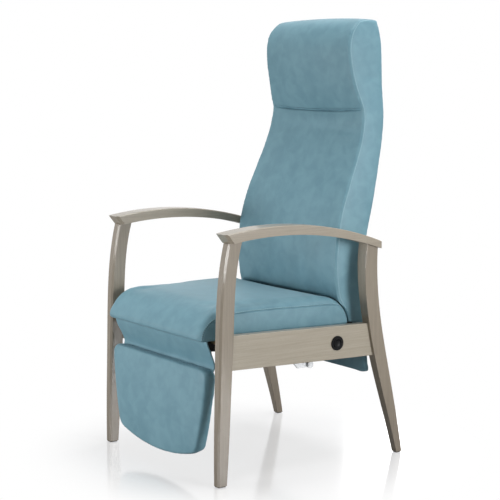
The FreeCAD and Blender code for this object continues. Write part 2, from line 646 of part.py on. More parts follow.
# End plates of the cross member: their lower ends and nuts show under the side rails
plate_front = "cross_tube_middle - end_plate_length / 2"
plate_rear = "cross_tube_middle + end_plate_length / 2"
plate_low = "rail_under_plate - end_plate_drop"
nut_y = "cross_tube_middle + end_plate_length / 2 - stay_nut_width * 0.8"
plate_inner = "rail_inner - end_plate_thickness"
for side, sign in SIDES:
    plate(f"end_plate_{side}", f"({sign}) * (rail_inner - end_plate_thickness / 2)", "end_plate_thickness",
          [(plate_front, "seat_board_underside"), (plate_front, f"{plate_low} + end_plate_corner"),
           (f"{plate_front} + end_plate_corner", plate_low), (f"{plate_rear} - end_plate_corner", plate_low),
           (plate_rear, f"{plate_low} + end_plate_corner"), (plate_rear, "seat_board_underside")],
          [(nut_y, "stay_nut_z", "stay_bolt_radius")])
    nut_outer = "rail_inner + stay_nut_height"
    fuse(f"stay_bolt_{side}", [
        side_rod(f"stay_shank_{side}", "stay_bolt_radius", plate_inner, f"{nut_outer} + side_play",
                 nut_y, "stay_nut_z", sign),
        hexagon(f"stay_nut_{side}", "stay_nut_width", "rail_inner", nut_outer, nut_y, "stay_nut_z", sign),
        hexagon(f"stay_head_{side}", "stay_nut_width", f"{plate_inner} - stay_nut_height", plate_inner,
                nut_y, "stay_nut_z", sign)])
    screw_z = "(cross_tube_underside + rail_under_plate) / 2"
    fuse(f"rail_screws_{side}", [
        hexagon(f"rail_screw_{place_name}_{side}", "stay_bolt_radius * 2",
                f"{plate_inner} - stay_bolt_radius", plate_inner, place_y, screw_z, sign)
        for place_name, place_y in (("front", f"{plate_front} + stay_nut_width"),
                                    ("rear", f"{plate_rear} - stay_nut_width"))])

# Cross tube on the axis of the back, between two flanged bearings on the side rails
core = rod("tube_core", "pivot_tube_radius", "2 * pivot_tube_end", "-pivot_tube_end",
           "pivot_reach", "pivot_height")
cut("back_cross_tube", core,
    rod("tube_bore", "pivot_bore", "2 * pivot_tube_end", "-pivot_tube_end", "pivot_reach", "pivot_height"))
for side, sign in SIDES:
    fuse(f"back_bearing_{side}", [
        side_rod(f"bearing_flange_{side}", "bearing_flange_radius", "bearing_face", "rail_inner",
                 "pivot_reach", "pivot_height", sign),
        side_rod(f"bearing_spigot_{side}", "pivot_bore - pivot_play", "bearing_face - bearing_spigot_length",
                 "bearing_face", "pivot_reach", "pivot_height", sign)])


# Shell of the back: horizontal sections, the rear corners rounded off by a flat
def back(measure, station):
    return size(f"back_{measure}_{station}")


def shell_section(station, grow):
    half = size("leg_outer") - back("inset", station) + grow
    rear = back("rear", station) + grow
    front = back("rear", station) - size("shell_thickness") - grow
    corner = size("shell_round")
    height = back("height", station)
    corners = [(-half, front), (half, front), (half, rear - corner), (half - corner, rear),
               (corner - half, rear), (-half, rear - corner), (-half, front)]
    return Part.makePolygon([at(x, y, height) for x, y in corners])


shell_shape = Part.makeLoft([shell_section(station, 0) for station in BACK_STATIONS], True, False)
shell = feature("back_shell", shell_shape)
around_seat = seat_cushion(size("seat_back_gap"))
around_shell = Part.makeLoft([shell_section(station, size("soft_gap")) for station in BACK_STATIONS],
                             True, False)

# Cushions of the back: how full each line is of the crown
FULLNESS = {"heel": 0.1, "seat": 0.4, "lumbar": 1, "girdle": 1, "ribs": 1, "chest": 1,
            "neck": 0.5, "nape": 1, "head": 1.1, "brow": 1, "crown": 0.3}


def cushion_section(station, raised):
    half = size("leg_outer") - back("inset", station)
    front = back("front", station)
    rear = back("rear", station) - size("shell_thickness / 2")
    height = back("height", station) + raised
    bulge = size("back_side_bulge") * FULLNESS[station]
    middle = at(0, front - size("back_cushion_crown") * FULLNESS[station], height)
    depth = (front + rear) / 2
    left, right = at(half, front, height), at(-half, front, height)
    left_rear, right_rear = at(half, rear, height), at(-half, rear, height)
    return Part.Wire([arc(right, middle, left), arc(left, at(half + bulge, depth, height), left_rear),
                      line(left_rear, right_rear),
                      arc(right_rear, at(-half - bulge, depth, height), right)])


def back_cushion(first, last):
    stations = BACK_STATIONS[BACK_STATIONS.index(first):BACK_STATIONS.index(last) + 1]
    gap = size("soft_gap / 2")
    raised = {"neck": -gap if last == "neck" else gap}
    sections = [cushion_section(station, raised.get(station, 0)) for station in stations]
    return Part.makeLoft(sections, True, False).cut(around_shell).cut(around_seat)


feature("back_cushion", back_cushion("heel", "neck"))
feature("headrest_cushion", back_cushion("neck", "crown"))

# Arms of the back: from the cross tube to the front of the shell
arm_rear_y = "(back_rear_tail + back_rear_heel - shell_thickness) / 2"
arm_low = "pivot_height - pivot_tube_radius - side_play"
for side, sign in SIDES:
    blank = plate(f"back_arm_blank_{side}", f"({sign}) * (leg_outer - back_arm_inset)", "back_arm_thickness",
                  [("pivot_reach", arm_low), (arm_rear_y, arm_low),
                   (arm_rear_y, f"{arm_low} + back_arm_height"),
                   ("pivot_reach", f"{arm_low} + back_arm_height")])
    welded = cut(f"back_arm_welded_{side}", blank, core)
    cut(f"back_arm_{side}", welded, shell)


def lever(label, x, thickness, length, pin_radius):
    """A lever welded to the cross tube, at its middle angle halfway through the travel."""
    def corner(along, aside):
        return (f"pivot_reach + lever_sine * ({along}) + lever_cosine * ({aside})",
                f"pivot_height - lever_cosine * ({along}) + lever_sine * ({aside})")
    half = "lever_width / 2"
    lever_end = f"{length} + {half}"
    blank = plate(label + "_blank", x, thickness,
                  [corner("0", half), corner("0", f"-{half}"),
                   corner(lever_end, f"-{half} * 0.7"), corner(lever_end, f"{half} * 0.7")],
                  [corner(length, "0") + (pin_radius,)])
    return cut(label, blank, core)


# Levers and pins of the push rods and the gas spring
for side, sign in SIDES:
    lever(f"back_lever_{side}", f"({sign}) * hinge_offset", "lever_thickness", "back_lever", "rod_pin_radius")
    inner = "rod_offset - rod_eye_thickness / 2 - side_play"
    outer = "hinge_offset + hinge_arm_thickness / 2 + side_play"
    fuse(f"back_rod_pin_{side}", [
        side_rod(f"back_rod_shank_{side}", "rod_pin_radius", inner, outer, "back_pin_y", "back_pin_z", sign),
        side_rod(f"back_rod_head_{side}", "rod_pin_radius * 1.6", f"{inner} - rod_pin_radius / 2", inner,
                 "back_pin_y", "back_pin_z", sign)])
gas_plate_x = "(gas_lever_gap + gas_lever_thickness) / 2"
for side, sign in SIDES:
    lever(f"gas_lever_{side}", f"({sign}) * {gas_plate_x}", "gas_lever_thickness", "gas_lever",
          "gas_pin_radius")
gas_pin_end = "gas_lever_gap / 2 + gas_lever_thickness"
fuse("gas_rear_pin", [
    rod("gas_rear_shank", "gas_pin_radius", f"2 * ({gas_pin_end})", f"-({gas_pin_end})",
        "gas_pin_y", "gas_pin_z")]
    + [side_rod(f"gas_rear_head_{side}", "gas_pin_radius * 1.6", gas_pin_end,
                f"{gas_pin_end} + gas_pin_radius / 2", "gas_pin_y", "gas_pin_z", sign)
       for side, sign in SIDES])


def along(shape, start, end):
    """Lays a shape that runs along +Y from the origin between two points of the side view."""
    run = end - start
    shape.rotate(at(0, 0, 0), RIGHT, math.degrees(math.atan2(run.z, run.y)))
    shape.translate(start)
    return shape


def cylinder(radius, length, start, axis):
    return Part.makeCylinder(radius, length, start, axis)


def eye(radius, thickness, distance):
    return cylinder(radius, thickness, at(-thickness / 2, distance, 0), RIGHT)


# Push rods: open at the front eyes, which have play around the legrest pins
front_pin = at(0, size("legrest_pin_y"), size("legrest_pin_z"))
rear_pin = at(0, size("back_pin_y"), size("back_pin_z"))
rod_reach = (rear_pin - front_pin).Length
eye_thickness = size("rod_eye_thickness")
front_bore = size("rod_pin_radius + rod_front_play")
push_rod = cylinder(size("rod_radius"), rod_reach, at(0, 0, 0), REAR)
push_rod = push_rod.fuse([eye(size("rod_eye_radius"), eye_thickness, 0),
                          eye(size("rod_eye_radius"), eye_thickness, rod_reach)])
push_rod = push_rod.cut([eye(front_bore, 2 * eye_thickness, 0),
                         eye(size("rod_pin_radius + hinge_play"), 2 * eye_thickness, rod_reach)])
# the round rod ends short of both bores and is flattened to the eyes beside the levers
flats = Part.makeBox(eye_thickness, rod_reach + 2 * size("rod_eye_radius"), 2 * size("rod_eye_radius"),
                     at(-eye_thickness / 2, -size("rod_eye_radius"), -size("rod_eye_radius")))
ends = 3 * size("rod_eye_radius")
shank = Part.makeBox(4 * eye_thickness, rod_reach - 2 * ends, 4 * eye_thickness,
                     at(-2 * eye_thickness, ends, -2 * eye_thickness))
push_rod = push_rod.common(flats.fuse(shank)).removeSplitter()
push_rod = along(push_rod, front_pin, rear_pin)
for side, sign in SIDES:
    placed = push_rod.copy()
    placed.translate(at(sign * size("rod_offset"), 0, 0))
    feature(f"push_rod_{side}", placed)

# Gas spring: release head and rod at the front, cylinder and open eye at the back
gas_front = at(0, -size("gas_front_reach"), size("gas_front_height"))
gas_rear = at(0, size("gas_pin_y"), size("gas_pin_z"))
gas_reach = (gas_rear - gas_front).Length
travel = 2 * size("gas_lever * lever_sine")
head_length = size("gas_head_length")
head = Part.makeBox(
    size("gas_head_width"), head_length, size("gas_head_height"),
    at(-size("gas_head_width / 2"), -size("gas_head_length / 3"), -size("gas_head_height / 2")))
head = head.cut(eye(size("gas_pin_radius + hinge_play"), 2 * size("gas_head_width"), 0))
neck_length = size("gas_eye_radius * 1.5")
cylinder_start = gas_reach - neck_length - size("gas_cylinder_length")
overlap = 2 * travel
head_end = head_length * 2 / 3
spring_rod = cylinder(size("gas_rod_radius"), cylinder_start + overlap - head_end, at(0, head_end, 0), REAR)
barrel = cylinder(size("gas_cylinder_radius"), size("gas_cylinder_length"), at(0, cylinder_start, 0), REAR)
barrel = barrel.makeFillet(size("leg_edge"), [edge for edge in barrel.Edges if edge.Closed])
barrel = barrel.fuse([
    cylinder(size("gas_eye_thickness / 2"), neck_length, at(0, gas_reach - neck_length, 0), REAR),
    eye(size("gas_eye_radius"), size("gas_eye_thickness"), gas_reach)])
barrel = barrel.cut([
    eye(size("gas_pin_radius + gas_rear_play"), 2 * size("gas_eye_thickness"), gas_reach),
    cylinder(size("gas_rod_radius + gas_rod_play"), overlap + 1.5 * travel, at(0, cylinder_start, 0), REAR)])
feature("release_head", along(head, gas_front, gas_rear))
feature("gas_spring_rod", along(spring_rod, gas_front, gas_rear))
feature("gas_spring_cylinder", along(barrel, gas_front, gas_rear))

# Front bracket of the gas spring under the front cross rail, with its pin
bracket_inner = "gas_head_width / 2 + side_play"
bracket_outer = f"{bracket_inner} + gas_bracket_thickness"
bracket_front = "-gas_front_reach - gas_bracket_length / 2"
bracket_low = "gas_front_height - gas_bracket_length / 2"
cheeks = [box(f"gas_bracket_cheek_{side}", "gas_bracket_thickness", "gas_bracket_length",
              f"front_rail_underside - ({bracket_low})", bracket_inner if sign > 0 else f"-({bracket_outer})",
              bracket_front, bracket_low) for side, sign in SIDES]
bridge = box("gas_bracket_bridge", f"2 * ({bracket_outer})", "gas_bracket_length", "gas_bracket_thickness",
             f"-({bracket_outer})", bracket_front, "front_rail_underside - gas_bracket_thickness")
pin_hole = rod("gas_bracket_hole", "gas_pin_radius", f"2 * ({bracket_outer})", f"-({bracket_outer})",
               "-gas_front_reach", "gas_front_height")
cut("gas_spring_bracket", fuse("gas_bracket_blank", cheeks + [bridge]), pin_hole)
fuse("gas_front_pin", [
    rod("gas_front_shank", "gas_pin_radius", f"2 * ({bracket_outer})", f"-({bracket_outer})",
        "-gas_front_reach", "gas_front_height")]
    + [side_rod(f"gas_front_head_{side}", "gas_pin_radius * 1.6", bracket_outer,
                f"{bracket_outer} + gas_pin_radius / 2", "-gas_front_reach", "gas_front_height", sign)
       for side, sign in SIDES])

# Brackets and pins of the legrest on the front cross rail
eye_y, eye_z = "-hinge_reach", "hinge_height"
for side, sign in SIDES:
    eye_front, eye_rear = f"{eye_y} - hinge_eye_radius", f"{eye_y} + hinge_eye_radius"
    eye_low, eye_high = f"{eye_z} - hinge_eye_radius", f"{eye_z} + hinge_eye_radius"
    plate(f"legrest_bracket_{side}", f"({sign}) * bracket_offset", "hinge_arm_thickness",
          [("-front_rail_reach", "front_rail_underside"), ("-front_rail_reach", "seat_board_underside"),
           ("-seat_board_front_reach - side_play", "seat_board_underside"),
           (eye_rear, eye_high), (f"{eye_y} - hinge_eye_radius * 0.4", eye_high),
           (eye_front, f"{eye_z} + hinge_eye_radius * 0.4"), (eye_front, f"{eye_z} - hinge_eye_radius * 0.4"),
           (f"{eye_y} - hinge_eye_radius * 0.4", eye_low), (eye_rear, eye_low)],
          [(eye_y, eye_z, "hinge_pin_radius")])
    inner = "hinge_offset - hinge_arm_thickness / 2 - side_play"
    outer = "bracket_offset + hinge_arm_thickness / 2 + side_play"
    fuse(f"legrest_hinge_pin_{side}", [
        side_rod(f"hinge_shank_{side}", "hinge_pin_radius", inner, outer, eye_y, eye_z, sign),
        side_rod(f"hinge_head_{side}", "hinge_pin_radius * 1.5", f"{inner} - hinge_pin_radius / 2", inner,
                 eye_y, eye_z, sign)])

# Arms of the legrest: eye, lever of the push rod, and a leg along the back of the board
behind_flap = "flap_top_y + flap_thickness + 2 * side_play"
flap_low_z = "flap_top_z - flap_height"
for side, sign in SIDES:
    plate(f"legrest_arm_{side}", f"({sign}) * hinge_offset", "hinge_arm_thickness",
          [(f"{eye_y} - hinge_eye_radius", f"{eye_z} + hinge_eye_radius * 0.4"),
           (f"{eye_y} - hinge_eye_radius", f"{eye_z} - hinge_eye_radius * 0.4"),
           (behind_flap, "flap_top_z"),
           (f"{behind_flap} + flap_slope", flap_low_z),
           (f"{behind_flap} + flap_slope", "legrest_arm_top"),
           ("board_at_arm_top", "legrest_arm_top"), ("board_at_arm_low", "legrest_arm_low"),
           ("board_at_arm_low + hinge_arm_width", "legrest_arm_low"),
           ("board_at_arm_top + hinge_arm_width", "legrest_arm_top - hinge_arm_width"),
           (f"{behind_flap} + flap_slope + hinge_arm_width", "legrest_arm_top"),
           (f"{behind_flap} + flap_slope + hinge_arm_width", flap_low_z),
           ("legrest_pin_y + rod_pin_radius * 2.4", "legrest_pin_z - rod_pin_radius * 2"),
           ("legrest_pin_y + rod_pin_radius * 2.4", "legrest_pin_z + rod_pin_radius * 2"),
           (f"{eye_y} + hinge_eye_radius", f"{eye_z} + hinge_eye_radius * 0.4"),
           (f"{eye_y} + hinge_eye_radius * 0.4", f"{eye_z} + hinge_eye_radius"),
           (f"{eye_y} - hinge_eye_radius * 0.4", f"{eye_z} + hinge_eye_radius")],
          [(eye_y, eye_z, "hinge_pin_radius + hinge_play"),
           ("legrest_pin_y", "legrest_pin_z", "rod_pin_radius")])
    inner = "rod_offset - rod_eye_thickness / 2 - side_play"
    outer = "hinge_offset + hinge_arm_thickness / 2"
    fuse(f"legrest_rod_pin_{side}", [
        side_rod(f"legrest_rod_shank_{side}", "rod_pin_radius", inner, outer,
                 "legrest_pin_y", "legrest_pin_z", sign),
        side_rod(f"legrest_rod_head_{side}", "rod_pin_radius * 1.9", f"{inner} - rod_pin_radius / 2", inner,
                 "legrest_pin_y", "legrest_pin_z", sign)])


def legrest_outline(y, inset):
    """Front view of the legrest: tapered and bowed sides, round corners, curved bottom edge."""
    top = size("legrest_top") - inset
    bottom = size("legrest_bottom") + inset
    wide = size("leg_outer - legrest_inset_top") - inset
    narrow = size("leg_outer - legrest_inset_bottom") - inset
    rounding = size("legrest_top_corner")
    high, shoulder = at(wide - rounding, y, top), at(wide, y, top - rounding)
    turn_point = at(wide - 0.3 * rounding, y, top - 0.3 * rounding)
    start = at(narrow, y, size("legrest_corner_height"))
    end = at(size("leg_outer - legrest_corner_inset") - inset / 2, y, bottom + size("legrest_corner_rise"))
    side_middle = (shoulder + start) * 0.5 + at(size("legrest_side_bow"), 0, 0)
    chord = end - start
    corner = (start + end) * 0.5 + at(-chord.z, 0, chord.x) * 0.16
    side = [high, turn_point, shoulder, side_middle, start, corner, end]
    other = [at(-point.x, y, point.z) for point in reversed(side)]
    outline = side + [at(0, y, bottom)] + other
    arcs = [arc(*outline[index:index + 3]) for index in range(0, len(outline) - 2, 2)]
    return Part.Wire([line(other[-1], high)] + arcs)


def leaning(shape):
    """Turns a piece of the legrest so that its lower edge stands before its top."""
    angle = math.degrees(math.atan(size("legrest_slope")))
    shape.rotate(at(0, size("legrest_board_rear"), size("legrest_middle")), RIGHT, -angle)
    return shape


front_y = -size("legrest_front_reach")
cushion_rear = front_y + size("legrest_cushion_thickness")
edge_round = size("legrest_round")
legrest_bulge = size("legrest_crown")
cushion_depth = size("legrest_cushion_thickness")
# distance of each outline from the rear of the cushion, and its inset
legrest_lines = [
    (0, edge_round / 3), (cushion_depth / 4, 0), (cushion_depth - edge_round, 0),
    (cushion_depth - edge_round * 0.3, edge_round * 0.3), (cushion_depth, edge_round),
    (cushion_depth + legrest_bulge * 0.5, edge_round * 2.4),
    (cushion_depth + legrest_bulge * 0.85, edge_round * 4.4),
    (cushion_depth + legrest_bulge, edge_round * 7.5),
]
legrest_sections = [legrest_outline(cushion_rear - forward, inset) for forward, inset in legrest_lines]
feature("legrest_cushion", leaning(Part.makeLoft(legrest_sections, True, True)))
board_face = Part.Face(legrest_outline(cushion_rear, size("legrest_board_inset")))
feature("legrest_board", leaning(board_face.extrude(at(0, size("legrest_board_thickness"), 0))))


def flap_section(height, y, inset):
    half = size("leg_outer") - inset
    rear = y + size("flap_thickness")
    corners = [(-half, y), (half, y), (half, rear), (-half, rear), (-half, y)]
    return Part.makePolygon([at(x, depth, height) for x, depth in corners])


flap_y, flap_z = size("flap_top_y"), size("flap_top_z")
feature("legrest_flap", Part.makeLoft([
    flap_section(flap_z, flap_y, size("flap_inset_top")),
    flap_section(flap_z - size("flap_height"), flap_y + size("flap_slope"), size("flap_inset_bottom"))],
    True, True))


# Release button and its bezel in the left side rail
button_y, button_z = "button_reach", "button_height"
barrel_end = "rail_inner - bezel_barrel_tail"
proud = "rail_outer + bezel_flange"
bezel = fuse("bezel_blank", [
    side_rod("bezel_flange_blank", "bezel_radius", "rail_outer", proud, button_y, button_z, 1),
    side_rod("bezel_barrel_blank", "bezel_barrel_radius", barrel_end, "rail_outer", button_y, button_z, 1)])
cut("button_bezel", bezel,
    side_rod("bezel_bore", "button_radius + button_play", f"{barrel_end} + bezel_floor", proud,
             button_y, button_z, 1))
button_back = size(f"{barrel_end} + bezel_floor + button_travel + side_play")
button = cylinder(size("button_radius"), size(f"{proud} + button_proud") - button_back,
                  at(button_back, size(button_y), size(button_z)), RIGHT)
outer_edge = [edge for edge in button.Edges if edge.BoundBox.XMin > size("rail_outer")]
feature("release_button", button.makeFillet(size("button_edge"), outer_edge))

# Release cable from the bezel to the bracket of the gas spring: straight runs and tangent arcs
cable_radius = size("cable_radius")
under = size("cross_tube_underside") - 2 * cable_radius
bezel_back = at(size(barrel_end), size(button_y), size(button_z))
anchor = at(size(bracket_outer), -size("gas_front_reach + gas_bracket_length / 4"),
            size("gas_front_height + 2 * gas_pin_radius"))
span = bezel_back - anchor
# shares of the way from the anchor to the bezel, across and along the chair, and the height
route = [(0.53, 0.835, under), (0.415, 0.605, under - 0.7 * cable_radius),
         (0.335, 0.375, under - 1.7 * cable_radius), (0.245, 0.17, anchor.z + 1.3 * cable_radius)]
cable_points = [bezel_back, bezel_back - at(size("cable_lead"), 0, 0)]
cable_points += [at(anchor.x + across * span.x, anchor.y + lengthways * span.y, height)
                 for across, lengthways, height in route]
cable_points += [anchor + at(size("cable_tail"), 0, 0), anchor]


def cable_path(points):
    """Straight runs between the points, with an arc at each inner point as large as its runs allow."""
    edges, last = [], points[0]
    for before, corner, after in zip(points, points[1:], points[2:]):
        inward, outward = before - corner, after - corner
        trim = 0.45 * min(inward.Length, outward.Length)
        start = corner + inward.normalize() * trim
        end = corner + outward.normalize() * trim
        half_turn = (math.pi - inward.getAngle(outward)) / 2
        radius = trim / math.tan(half_turn)
        toward = (inward + outward).normalize()
        middle = corner + toward * (radius / math.cos(half_turn) - radius)
        edges += [line(last, start), arc(start, middle, end)]
        print(f"cable arc radius {radius:.1f}")
        last = end
    return Part.Wire(edges + [line(last, points[-1])])


path = cable_path(cable_points)
lead = cable_points[1] - cable_points[0]
circle = Part.Wire(Part.Circle(cable_points[0], lead, cable_radius).toShape())
cable = path.makePipeShell([circle], True, False)
swept_volume = math.pi * cable_radius ** 2 * path.Length
print(f"cable volume {cable.Volume:.1f}, section times length {swept_volume:.1f}")
feature("release_cable", cable)
clip_width = size("cable_clip_width")
clip_y = size("cross_tube_middle")
behind, before = cable_points[2:4]
clip_x = behind.x + (before.x - behind.x) * (behind.y - clip_y) / (behind.y - before.y)
clip_height = size("cross_tube_underside") - (under - 2 * cable_radius)
clip = Part.makeBox(clip_width, clip_width, clip_height,
                    at(clip_x - clip_width / 2, clip_y - clip_width / 2, under - 2 * cable_radius))
feature("cable_clip", clip.cut(cable))

doc.recompute()

# The pieces that leave the model, under their own names
KEPT = """
front_leg_left front_leg_right rear_leg_left rear_leg_right
front_glide_left front_glide_right rear_glide_left rear_glide_right
armrest_left armrest_right side_rail_left side_rail_right front_cross_rail
seat_board seat_cushion steel_cross_member end_plate_left end_plate_right
stay_bolt_left stay_bolt_right rail_screws_left rail_screws_right
back_bearing_left back_bearing_right legrest_bracket_left legrest_bracket_right
legrest_hinge_pin_left legrest_hinge_pin_right gas_spring_bracket gas_front_pin
button_bezel release_button release_cable cable_clip
back_cross_tube back_arm_left back_arm_right back_shell back_cushion headrest_cushion
back_lever_left back_lever_right back_rod_pin_left back_rod_pin_right
gas_lever_left gas_lever_right gas_rear_pin release_head gas_spring_rod gas_spring_cylinder
push_rod_left push_rod_right legrest_arm_left legrest_arm_right
legrest_rod_pin_left legrest_rod_pin_right legrest_board legrest_cushion legrest_flap
""".split()

for piece in doc.Objects:
    if {"Invalid", "Error"} & set(piece.State):
        raise RuntimeError(f"{piece.Label} could not be made: {piece.State}")

for label in KEPT:
    piece = doc.getObjectsByLabel(label)[0]
    shape = piece.Shape
    if shape.isNull() or not shape.isValid() or not shape.Solids:
        raise RuntimeError(f"{label} has no valid solid")
    shape.exportStep(f"parts/{label}.step")
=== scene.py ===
import json
import math

import bmesh
import bpy
import numpy as np
from mathutils import Matrix, Vector
from mathutils.bvhtree import BVHTree
from mathutils.kdtree import KDTree


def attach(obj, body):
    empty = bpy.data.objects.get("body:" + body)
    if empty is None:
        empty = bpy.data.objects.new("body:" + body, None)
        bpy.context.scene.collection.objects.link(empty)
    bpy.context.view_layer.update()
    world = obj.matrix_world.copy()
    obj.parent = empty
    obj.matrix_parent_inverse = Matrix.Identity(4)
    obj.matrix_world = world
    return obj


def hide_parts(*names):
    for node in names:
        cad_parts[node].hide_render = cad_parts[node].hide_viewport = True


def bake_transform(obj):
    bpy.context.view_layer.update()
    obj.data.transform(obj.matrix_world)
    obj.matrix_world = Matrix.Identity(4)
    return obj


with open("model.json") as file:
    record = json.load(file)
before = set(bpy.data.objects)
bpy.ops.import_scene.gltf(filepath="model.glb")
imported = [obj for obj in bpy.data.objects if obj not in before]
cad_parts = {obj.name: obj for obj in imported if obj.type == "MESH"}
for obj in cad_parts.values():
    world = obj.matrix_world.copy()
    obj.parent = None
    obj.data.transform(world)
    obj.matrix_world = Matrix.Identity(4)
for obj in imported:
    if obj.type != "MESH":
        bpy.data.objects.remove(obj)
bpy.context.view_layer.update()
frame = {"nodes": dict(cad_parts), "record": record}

# Looks of a high-back rest recliner: stained beech frame, blue-grey synthetic
# leather, and the steel and plastic parts under the seat. Metres, +Z up,
# the sitter faces -Y, +X is the sitter's left.

scene = bpy.context.scene
nodes = frame["nodes"]
MM = 0.001


# Camera and view
AZIMUTH, ELEVATION = math.radians(54.9), math.radians(7.32)
EYE = (3.3632, -2.3584, 1.1092)

camera_data = bpy.data.cameras.new("camera")
camera_data.sensor_width = 36
camera_data.lens = 103.55
camera = bpy.data.objects.new("camera", camera_data)
camera.location = EYE
camera.rotation_euler = (math.pi / 2 - ELEVATION, 0, AZIMUTH)
scene.collection.objects.link(camera)
scene.camera = camera
scene.view_settings.view_transform = "Standard"


# Materials
class Value:
    """A number in a material's nodes, on which Python's arithmetic works."""

    def __init__(self, finish, socket):
        self.finish = finish
        self.socket = socket

    def math(self, operation, *others):
        sockets = dict(enumerate((self,) + others))
        return self.finish.node("ShaderNodeMath", {"operation": operation}, sockets)

    def __add__(self, other):
        return self.math("ADD", other)

    def __radd__(self, other):
        return self.math("ADD", other)

    def __mul__(self, other):
        return self.math("MULTIPLY", other)

    def __rmul__(self, other):
        return self.math("MULTIPLY", other)

    def __sub__(self, other):
        return self.math("SUBTRACT", other)

    def __rsub__(self, other):
        return (self * -1) + other

    def step(self, low, high):
        """0 below low, 1 above high, and smooth between."""
        return self.finish.node("ShaderNodeMapRange", {"interpolation_type": "SMOOTHSTEP"},
                                {"Value": self, "From Min": low, "From Max": high})


class Finish:
    """A material with one Principled shader, and its patterns on Object coordinates."""

    def __init__(self, name, **constants):
        self.material = bpy.data.materials.new(name)
        self.material.use_nodes = True
        self.tree = self.material.node_tree
        self.shader = self.tree.nodes["Principled BSDF"]
        for socket, number in constants.items():
            label = socket.replace("_", " ").title().replace("Ior", "IOR")
            self.shader.inputs[label].default_value = number
        self.place = self.node("ShaderNodeTexCoord", {}, {}, "Object")

    def node(self, kind, settings, sockets, output=0):
        """A node of that kind, with its settings and what feeds its sockets."""
        made = self.tree.nodes.new(kind)
        for setting, choice in settings.items():
            setattr(made, setting, choice)
        for socket, content in sockets.items():
            self.feed(made.inputs[socket], content)
        return Value(self, made.outputs[output])

    def feed(self, socket, content):
        if isinstance(content, Value):
            self.tree.links.new(content.socket, socket)
        else:
            socket.default_value = content

    def set(self, **sockets):
        for socket, content in sockets.items():
            self.feed(self.shader.inputs[socket.replace("_", " ").title()], content)

    def stretched(self, x, y, z):
        return self.node("ShaderNodeVectorMath", {"operation": "MULTIPLY"}, {0: self.place, 1: (x, y, z)})

    def noise(self, scale, detail=2, distortion=0, place=None):
        return self.node("ShaderNodeTexNoise", {}, {
            "Vector": place or self.place, "Scale": scale, "Detail": detail, "Distortion": distortion})

    def cells(self, scale, place=None):
        return self.node("ShaderNodeTexVoronoi", {}, {"Vector": place or self.place, "Scale": scale})

    def mix(self, factor, first, second):
        return self.node("ShaderNodeMix", {"data_type": "RGBA"}, {0: factor, 6: first, 7: second}, 2)

    def relief(self, height, depth, strength=1.0):
        """Bump of that depth in metres."""
        bump = self.node("ShaderNodeBump", {}, {"Height": height, "Distance": depth, "Strength": strength})
        self.set(normal=bump)


def colour(red, green, blue):
    """A colour given as it shows on screen, 0 to 255, as the shader's linear values."""
    def linear(level):
        level = level / 255
        return level / 12.92 if level <= 0.04045 else ((level + 0.055) / 1.055) ** 2.4
    return (linear(red), linear(green), linear(blue), 1)


def synthetic_leather(name):
    """Blue-grey synthetic leather: soft clouds of tone and a fine pebbled grain."""
    finish = Finish(name, sheen_weight=0.08, sheen_roughness=0.4, specular_ior_level=0.4)
    wide = finish.noise(11, 2, 0.4)
    cloud = finish.noise(30, 3, 0.5)
    tone = (wide * 0.4 + cloud * 0.6).step(0.3, 0.7)
    base = finish.mix(tone, colour(98, 138, 152), colour(115, 154, 167))
    fine = finish.noise(420, 2)
    finish.set(base_color=finish.mix(fine.step(0.25, 0.75) * 0.3, base, colour(106, 147, 161)),
               roughness=0.48 + tone * 0.08)
    pebble = finish.cells(720)
    finish.relief(pebble * 0.6 + fine * 0.4, 0.00022, 0.5)
    return finish.material


def stained_beech(name, grain, dark, light, gloss=0.65):
    """Beech with a greige stain and gloss lacquer. grain is the length of the fibres along
    each axis, dark and light are the two tones of the stain."""
    across = [1 / length for length in grain]
    finish = Finish(name, coat_weight=gloss, coat_roughness=0.12, specular_ior_level=0.4)
    fibre = finish.noise(1, 3, 0, finish.stretched(*[900 * share for share in across]))
    band = finish.noise(1, 2, 0, finish.stretched(*[210 * share for share in across]))
    fleck = finish.noise(1, 1, 0, finish.stretched(*[1400 * min(1, 5 * share) for share in across]))
    tone = (fibre * 0.5 + band * 0.5).step(0.25, 0.75)
    base = finish.mix(tone, dark, light)
    marks = fleck.step(0.6, 0.75) * 0.25
    base = finish.mix(marks, base, colour(104, 94, 80))
    # Painted shade: the wood is darkened towards the floor, below about 0.34 m.
    height = finish.node("ShaderNodeSeparateXYZ", {}, {"Vector": finish.place}, 2)
    painted_shade_near_floor = (1 - (height + fibre * 0.06).step(0.02, 0.34)) * 0.3
    finish.set(base_color=finish.mix(painted_shade_near_floor, base, colour(88, 76, 66)), roughness=0.38 + fibre * 0.12)
    finish.relief(fibre * 0.7 - marks * 0.5, 0.00004, 0.3)
    return finish.material


def birch_ply(name):
    """Raw birch plywood: pale faces, darker glue lines between the plies."""
    finish = Finish(name)
    fibre = finish.noise(1, 3, 0.3, finish.stretched(12, 260, 260))
    plies = finish.node("ShaderNodeTexWave", {"bands_direction": "Z"}, {
        "Vector": finish.place, "Scale": 105, "Distortion": 0.3})
    base = finish.mix(fibre.step(0.3, 0.75), colour(196, 168, 128), colour(220, 198, 162))
    finish.set(base_color=finish.mix(plies.step(0.8, 0.95) * 0.35, base, colour(150, 118, 82)),
               roughness=0.6 + fibre * 0.15)
    finish.relief(fibre, 0.0001, 0.5)
    return finish.material


def metal(name, dark, light, roughness, metallic, lines):
    """Steel parts: brushed or rolled lines, small stains and handling marks."""
    finish = Finish(name)
    brushed = finish.noise(1, 2, 0, finish.stretched(*lines))
    stain = finish.noise(38, 3)
    worn = brushed * 0.12 + stain.step(0.55, 0.7) * 0.08
    finish.set(base_color=finish.mix((brushed * 0.4 + stain * 0.6).step(0.3, 0.7), dark, light),
               metallic=metallic, roughness=roughness - 0.06 + worn)
    finish.relief(brushed, 0.00003, 0.5)
    return finish.material


